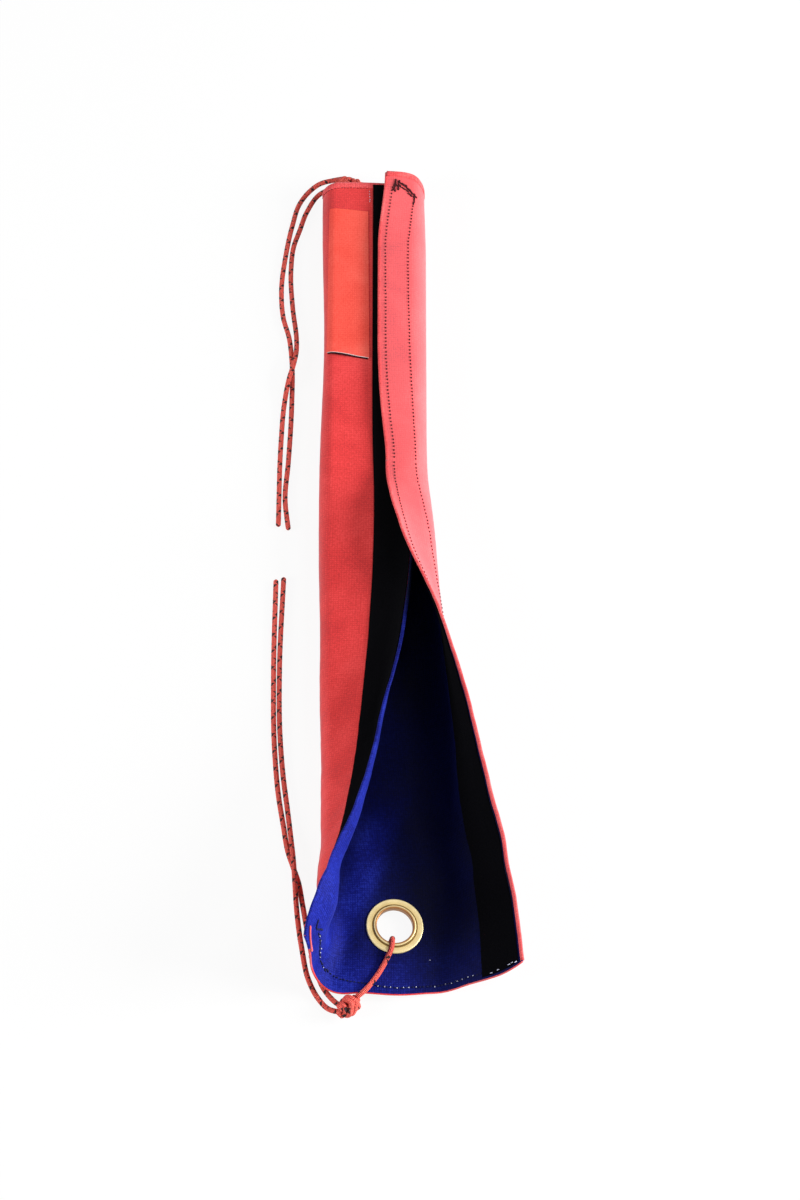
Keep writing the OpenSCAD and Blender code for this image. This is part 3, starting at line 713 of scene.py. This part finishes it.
def painted_shade_and_light(calc, spread, across, along):
    """Painted shade and light: the share of the lining's colour that is kept at each place."""
    # Painted shade: rim darkens the underlap's edge from about 300 mm up, hem and inward darken the back and
    # right of the tube; band is a painted pool of light on the flare.
    rim = calc("MAXIMUM", spread(across, 0.004, 0.012, 0.0, 1.0), spread(along, 0.28, 0.32, 1.0, 0.03))
    hem = calc("MULTIPLY", spread(along, 0.005, 0.06, 0.35, 1.0), spread(across, 0.042, 0.066, 0.0, 0.58))
    slant = calc("MULTIPLY_ADD", along, -0.48, across)
    band = calc("MULTIPLY", spread(slant, 0.052, 0.068, 2.3, 0.72), spread(slant, 0.030, 0.046, 0.42, 1.0))
    on_flare = calc("MULTIPLY", spread(along, 0.12, 0.18, 1.0, 0.0), spread(along, 0.02, 0.045, 0.0, 1.0))
    band = calc("MULTIPLY_ADD", calc("SUBTRACT", band, 1.16), on_flare, 1.16)
    inward = calc("MULTIPLY", spread(across, 0.095, 0.15, 1.0, 0.28), spread(along, 0.08, 0.24, 1.0, 0.7))
    edge = calc("MULTIPLY", calc("MULTIPLY", rim, band), calc("SUBTRACT", 1.0, hem))
    return calc("MULTIPLY", inward, edge)

def coated_cloth(name, tones, rough=0.5, sheen=0.45, bump=0.2, specular=0.3, tint="#FFD4DC",
                 grain_scale=620.0, painted_depth_shade=False, painted_glare=None):
    """tones are the dark, usual and pale colour; the last argument is a paler colour painted towards the
    closure as a painted highlight, and the one before it turns on the lining's painted shade and light.
    """
    material, shader, node, calc = new_material(name)
    flat, across, along = flat_places(node)
    threads = [node("TexWave", {"bands_direction": way}, Vector=flat, Scale=weave_scale, Distortion=0.8,
                    Detail=1.0, Detail_Scale=30.0).outputs["Fac"] for way in "XY"]
    weave = calc("MULTIPLY", *threads)
    grain = noise(node, flat, grain_scale, 3.0, 0.7)
    cloud = noise(node, flat, 22.0, 4.0, 0.6, Distortion=0.4)
    mixed = calc("MULTIPLY_ADD", weave, 0.10,
                 calc("MULTIPLY_ADD", cloud, 0.50, calc("MULTIPLY", grain, 0.50)))
    tone = ramp(node, mixed, *zip((0.39, 0.52, 0.65), tones))
    def spread(value, start, stop, first, last):
        return node("MapRange", {"interpolation_type": "SMOOTHSTEP"}, Value=value, From_Min=start,
                    From_Max=stop, To_Min=first, To_Max=last).outputs["Result"]
    # Painted shade and light on the lining, scaled into its colour.
    if painted_depth_shade:
        tone = node("VectorMath", {"operation": "SCALE"}, i0=tone,
                    Scale=painted_shade_and_light(calc, spread, across, along)).outputs["Vector"]
    # Painted highlight: the colour goes paler towards the closure, where the flap faces the light.
    if painted_glare:
        paler = tuple(b - a for a, b in zip(colour(tones[1]), colour(painted_glare)))[:3]
        tone = node("VectorMath", {"operation": "MULTIPLY_ADD"}, i0=spread(across, 0.125, 0.170, 0.0, 0.9),
                    i1=paler, i2=tone).outputs["Vector"]
    wear = node("MapRange", Value=cloud, From_Min=0.3, From_Max=0.7, To_Min=rough - 0.06,
                To_Max=rough + 0.08).outputs["Result"]
    wire(shader, Base_Color=tone, Roughness=wear,
         Normal=relief(node, calc("MULTIPLY_ADD", weave, 0.35, grain), bump, 0.0004),
         Specular_IOR_Level=specular, Sheen_Weight=sheen, Sheen_Roughness=0.45, Sheen_Tint=colour(tint))
    return material

# The shell is painted paler towards the closure as a painted highlight.
red_cloth = coated_cloth("coated_polyester_red", ("#C82629", "#E03231", "#F04746"), sheen=0.8, bump=0.25,
                         painted_glare="#E5585C")
# Turned edges are painted paler, for wear and as a painted highlight on their rounded folds.
red_edge = coated_cloth("coated_polyester_red_edge_wear_and_painted_highlight", ("#C0343A", "#E24A4D", "#F4706F"))
# The lining carries painted shade deep in the tube and a painted pool of light on the flare.
blue_cloth = coated_cloth("coated_nylon_blue", ("#0B1058", "#121A78", "#2230A0"), rough=0.55, sheen=0.4,
                          bump=0.7, specular=0.05, tint="#6878FF", grain_scale=430.0, painted_depth_shade=True)
label_cloth = coated_cloth("woven_satin_label", ("#F04A3C", "#FA594B", "#FF6C5C"), rough=0.55,
                           sheen=0.2, bump=0.12, tint="#FFE0D8")
cut_edge = coated_cloth("label_cut_edge_white", ("#D8CCC6", "#F0E6E0", "#FFFFFF"), rough=0.7,
                        sheen=0.1, tint="#FFFFFF")
print("cloths:", [m.name for m in (red_cloth, red_edge, blue_cloth, label_cloth, cut_edge)])

# %% [markdown]
# The strips are nylon pile, matt and so dark that only their fuzz catches light.

# %% Pile
def pile(name, base, pale):
    material, shader, node, _ = new_material(name)
    flat = flat_places(node)[0]
    tufts = noise(node, flat, 900.0, 4.0, 0.8)
    wire(shader, Base_Color=ramp(node, tufts, (0.45, base), (0.85, pale)),
         Normal=relief(node, tufts, 0.9, 0.0008), Roughness=1.0, Specular_IOR_Level=0.05)
    return material

black_pile = pile("nylon_pile_black", "#030305", "#0C0B10")
print("pile:", black_pile.name)

# %% [markdown]
# The eyelets are spun from brass sheet and left satin. Their lathe marks run round the hole, so the
# noise is stretched along rings round the eyelet's axis. The wall of the hole is painted redder, a
# painted reflection, and a darker line runs round the crease inside the lip.

# %% Satin brass
# From the hole outwards: the redder wall at 0.06 is a painted reflection, then the lip, a darker crease line
# and the flange.
brass_rings = ((0.06, "#B98A66"), (0.12, "#FFF4D8"), (0.20, "#F4E4BE"), (0.24, "#7C6440"),
               (0.29, "#8A7048"), (0.34, "#F0DEB4"), (0.70, "#FFF6DC"), (1.0, "#C9B48A"))

def spun_brass(name, x, y, z, tilt):
    """x, y and z are the eyelet's middle, in millimetres, and tilt is the cloth's, in radians."""
    material, shader, node, calc = new_material(name)
    vector = lambda operation, a, b: node("VectorMath", {"operation": operation}, i0=a, i1=b).outputs
    place = node("TexCoord").outputs["Object"]
    local = vector("SUBTRACT", place, (x * 0.001, y * 0.001, z * 0.001))["Vector"]
    rise = vector("DOT_PRODUCT", local, (-math.sin(tilt), 0, math.cos(tilt)))["Value"]
    reach = node("VectorMath", {"operation": "LENGTH"}, i0=local).outputs["Value"]
    square = calc("SUBTRACT", calc("POWER", reach, 2.0), calc("POWER", rise, 2.0))
    radius = calc("SQRT", calc("MAXIMUM", square, 0.0))
    ring = node("CombineXYZ", X=radius, Y=rise, Z=0.0).outputs["Vector"]
    marks = noise(node, ring, 2600.0, 3.0, 0.7)
    stain = noise(node, place, 160.0, 4.0)
    tone = calc("MULTIPLY_ADD", marks, 0.6, calc("MULTIPLY", stain, 0.4))
    where = node("MapRange", Value=radius, From_Min=0.0140, From_Max=0.0235).outputs["Result"]
    # The ring colours, with the hole wall's painted reflection, multiply the lathe marks and stain.
    tone_with_painted_reflection = node("Mix", {"data_type": "RGBA", "blend_type": "MULTIPLY"}, Factor=1.0,
                A=ramp(node, tone, (0.3, "#B9AD8E"), (0.7, "#EAE0C4")), B=ramp(node, where, *brass_rings))
    wire(shader, Base_Color=tone_with_painted_reflection.outputs["Result"], Normal=relief(node, marks, 0.25, 0.0001),
         Metallic=1.0, Roughness=0.36)
    return material

def finish_with(piece, material):
    piece.data.materials.clear()
    piece.data.materials.append(material)

for end, place in eyelet_at.items():
    brass = spun_brass(f"spun_brass_{end}", *place)
    finish_with(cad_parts[f"{end}_eyelet"], brass)
    finish_with(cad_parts[f"{end}_eyelet_washer"], brass)
    print("made", brass.name)

# %% [markdown]
# The cords have a plaited polyester cover. Dark tracer yarns wind through it both ways and come to
# the surface for 2.4 mm at a time. Each is given as (way round, length of one turn, its start,
# distance between its marks). Knots and lower loop show fewer marks: the yarns lie inside there.

# %% Cord cover
strand_pitch, mark_length, yarn_width = 0.0021, 0.0024, 0.22

def braided_cover(name, *yarns):
    material, shader, node, calc = new_material(name)
    flat, turns, metres = flat_places(node)
    def strands(way):
        round_it = calc("MULTIPLY", turns, 2 * math.pi * 6)
        return calc("SINE", calc("MULTIPLY_ADD", metres, way * 2 * math.pi / strand_pitch, round_it))
    plait = calc("MULTIPLY", strands(1), strands(-1))
    def tracer(way, pitch, start, every):
        turned = calc("FRACT", calc("MULTIPLY_ADD", metres, way / pitch, calc("ADD", turns, start)))
        passed = calc("FRACT", calc("MULTIPLY_ADD", metres, 1 / every, start))
        return calc("MULTIPLY", calc("LESS_THAN", turned, yarn_width),
                    calc("LESS_THAN", passed, mark_length / every))
    dark = calc("MAXIMUM", *(tracer(*yarn) for yarn in yarns))
    fuzz = noise(node, flat, 1500.0, 2.0)
    tone = calc("MULTIPLY_ADD", plait, 0.22, fuzz)
    mixed = node("Mix", {"data_type": "RGBA"}, Factor=dark, B=colour("#26060A"),
                 A=ramp(node, tone, (0.25, "#C4302E"), (0.5, "#F0584C"), (0.75, "#FF8270")))
    wire(shader, Base_Color=mixed.outputs["Result"], Normal=relief(node, plait, 0.8, 0.0004),
         Roughness=0.6, Specular_IOR_Level=0.35)
    return material

cord_cover = braided_cover("braided_polyester_cord", (1, 0.0094, 0.2, 0.0047), (-1, 0.0141, 0.7, 0.0047))
plainer_cover = braided_cover("braided_polyester_cord_plainer",
                              (1, 0.0188, 0.2, 0.0094), (-1, 0.0282, 0.7, 0.0118))
print("covers:", cord_cover.name, plainer_cover.name)

# %% [markdown]
# Sewing thread is polyester, twisted from two plies. A fine noise is all that shows of the twist.

# %% Thread
def thread(name, base, pale):
    material, shader, node, _ = new_material(name)
    place = node("TexCoord").outputs["Object"]
    twist = noise(node, place, 1400.0, 2.0)
    wire(shader, Base_Color=ramp(node, twist, (0.0, base), (1.0, pale)),
         Roughness=0.7, Specular_IOR_Level=0.2)
    return material

thread_finish = {"maroon": thread("polyester_thread_maroon", "#24040A", "#4A0C16"),
                 "navy": thread("polyester_thread_navy", "#04051C", "#11164A"),
                 "pale": thread("polyester_thread_pale", "#A8ACD0", "#F2F2FA")}
print("threads:", list(thread_finish))

# %% [markdown]
# Every piece gets its material and the body it rides on. The flap's and the mouth's pieces have no
# body of their own.

# %% Dress the pieces
def dress(piece, material, body, slot, *nodes):
    finish_with(piece, material)
    if body:
        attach(piece, body)
    if nodes:
        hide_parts(*nodes)

dress(shell, red_cloth, "sleeve", "shell",
      "shell_hem", "shell_flare", "shell_mouth", "shell_channel", "shell_end")
dress(lining, blue_cloth, "sleeve", "lining", "lining")
dress(hook, black_pile, "sleeve", "strip", "hook_strip")
dress(loop, black_pile, "sleeve", "strip", "loop_strip")
dress(label, label_cloth, "sleeve", "label", "label")
dress(label_end, cut_edge, "sleeve", "label")
# The dark strip under the label is painted shadow, in the maroon thread's colour.
dress(painted_label_shadow, thread_finish["maroon"], "sleeve", "label")
dress(flap_shell, red_cloth, None, "shell", "flap_shell")
dress(flap_lining, blue_cloth, None, "lining", "flap_lining")
dress(flap_hook, black_pile, None, "strip", "flap_hook_strip")
dress(mouth_shell, red_cloth, None, "shell")
dress(mouth_lining, blue_cloth, None, "lining")
dress(mouth_hook, black_pile, None, "strip")
for finish, body, slot, names in ((red_cloth, "sleeve", "shell", ("hem_edge", "hem_stub")),
                                  (red_edge, "sleeve", "shell", ("end_edge", "flare_edge")),
                                  (blue_cloth, "sleeve", "lining", ("underlap_edge", "corner_edge")),
                                  (red_edge, None, "shell", ("flap_edge", "flap_end_edge", "mouth_edge"))):
    for name in names:
        dress(edges[name], finish, body, slot)
flap_threads, mouth_threads = [], []
for finish, seams in stitched.items():
    for name, piece in seams.items():
        on_flap, on_mouth = name.startswith("flap_"), name.startswith("mouth_")
        dress(piece, thread_finish[finish], None if on_flap or on_mouth else "sleeve", "shell")
        flap_threads += [piece] if on_flap else []
        mouth_threads += [piece] if on_mouth else []

for piece in [flap_shell, flap_lining, flap_hook, edges["flap_edge"], edges["flap_end_edge"]] + flap_threads:
    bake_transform(piece)
for piece in [mouth_shell, mouth_lining, mouth_hook, edges["mouth_edge"]] + mouth_threads:
    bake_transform(piece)
print("blended seams:", len(flap_threads) + len(mouth_threads))

# %% [markdown]
# Each knot is an overhand knot in the doubled cord. One smooth path runs in at the loop's side,
# slants over the front, turns behind, crosses over itself and tucks through to the tails' side. Two
# tubes follow it side by side.

# %% Knots
overhand = [[13, 0.5, 0], [8, 0, 1.5], [4.5, -2.5, 4.2], [0, -5, 3.0], [-4, -5.6, -0.5], [-5.5, -2, -4],
            [-3, 3.5, -4.2], [0.5, 6, -0.5], [3.5, 4, 4.3], [5.5, -1.5, 4.6], [5.2, -5.4, 0.5],
            [3, -3.5, -4.2], [-0.5, 1.5, -4.5], [-3.5, 5, -1.5], [-5.5, 4.2, 2.6], [-6.8, 0.5, 3.6],
            [-8.5, -0.5, 1.2], [-13, 0, -1]]
strand_r, apart = 2.05, 1.9    # the strands' radius, and their distance from the path

def knot(name, centre, turn, node, size):
    path, _ = smooth_route(overhand, 0.7)
    tangent = unit(np.gradient(path, axis=0))
    side = smoothed(np.cross(tangent, unit(path * [0, 1, 1] + [0, 0, 0.8])), 3.0)
    side = unit(side - tangent * np.sum(side * tangent, 1)[:, None])
    c, z = math.cos(math.radians(turn)), math.sin(math.radians(turn))
    strands = []
    for way in (-1, 1):
        local = (path + side * way * apart) * size
        placed = local @ np.array([[c, z, 0], [-z, c, 0], [0, 0, 1]]) + centre
        placed[:, 2] = np.maximum(placed[:, 2], strand_r)
        strands.append(tube(f"{name}_{way + 2}", placed, run_length(path), radius=strand_r, sides=12))
    select_only(*strands)
    bpy.ops.object.join()
    strands[0].name = name
    dress(strands[0], plainer_cover, "sleeve", "cord", node)
    return strands[0]

knots = {"lower": knot("lower_overhand", (-49, -361, 8.0), 44, "lower_knot", (0.72, 0.92, 0.9)),
         "upper": knot("upper_overhand", (-53.5, 357, 5.6), 170, "upper_knot", (0.9, -0.62, 0.62))}
print("knots:", list(knots))

# %% [markdown]
# Each cord gets its braided cover and rides on the sleeve.

for node, (piece, line, length) in cords.items():
    dress(piece, plainer_cover if node == "lower_cord_loop" else cord_cover, "sleeve", "cord", node)
print("declared:", len(cords), "cords and 11 sheets")

# %% [markdown]
# The floor is a plain white board. What the camera and the metal see of it and of the room is
# mostly its own white, and some of the object's soft shadow is left in.

# %% Floor and room
def seen_directly(node, calc):
    rays = node("LightPath").outputs
    return calc("MAXIMUM", calc("MAXIMUM", rays["Is Camera Ray"], rays["Is Glossy Ray"]),
                rays["Is Transmission Ray"])

bpy.ops.object.select_all(action="DESELECT")
bpy.ops.mesh.primitive_plane_add(size=12, location=(0, 0, -0.0005))
floor = bpy.context.active_object
floor.name = "floor"
board, shader, node, calc = new_material("white_board")
wire(shader, Base_Color=colour("#F4F4F4"), Roughness=0.9)
glow = node("Emission", Color=(1, 1, 1, 1), Strength=1.0)
share = calc("MULTIPLY", seen_directly(node, calc), 0.92)
both = node("MixShader", Fac=share, i1=shader.outputs["BSDF"], i2=glow.outputs["Emission"])
wire(board.node_tree.nodes["Material Output"], Surface=both.outputs["Shader"])
floor.data.materials.append(board)

world = bpy.data.worlds.new("studio")
scene.world = world
world.use_nodes = True
room_light = 0.1
node, calc = makers(world)
wire(world.node_tree.nodes["Background"], Color=(1, 1, 1, 1),
     Strength=calc("MULTIPLY_ADD", seen_directly(node, calc), 1.0 - room_light, room_light))
print("floor:", floor.name, "world:", world.name)

# %% [markdown]
# Three soft boxes light it. The main one stands low on the right: it lights the flap most and
# leaves the right side of the open flare deep. One high on the right gives the coated cloth its
# gloss, and a weaker one fills in from the left.

# %% Light
def softbox(name, place, size, power):
    data = bpy.data.lights.new(name, "AREA")
    data.shape, data.size, data.energy = "SQUARE", size, power
    lamp = bpy.data.objects.new(name, data)
    lamp.location = place
    lamp.rotation_euler = (Vector((0, 0, 0)) - Vector(place)).to_track_quat("-Z", "Y").to_euler()
    scene.collection.objects.link(lamp)
    print(name, power, "W")

softbox("low_right", (2.25, -0.15, 0.85), 1.1, 116)
softbox("high_right", (1.45, 0.35, 1.9), 0.7, 16)
softbox("low_left", (-2.1, -0.6, 1.0), 0.9, 40)
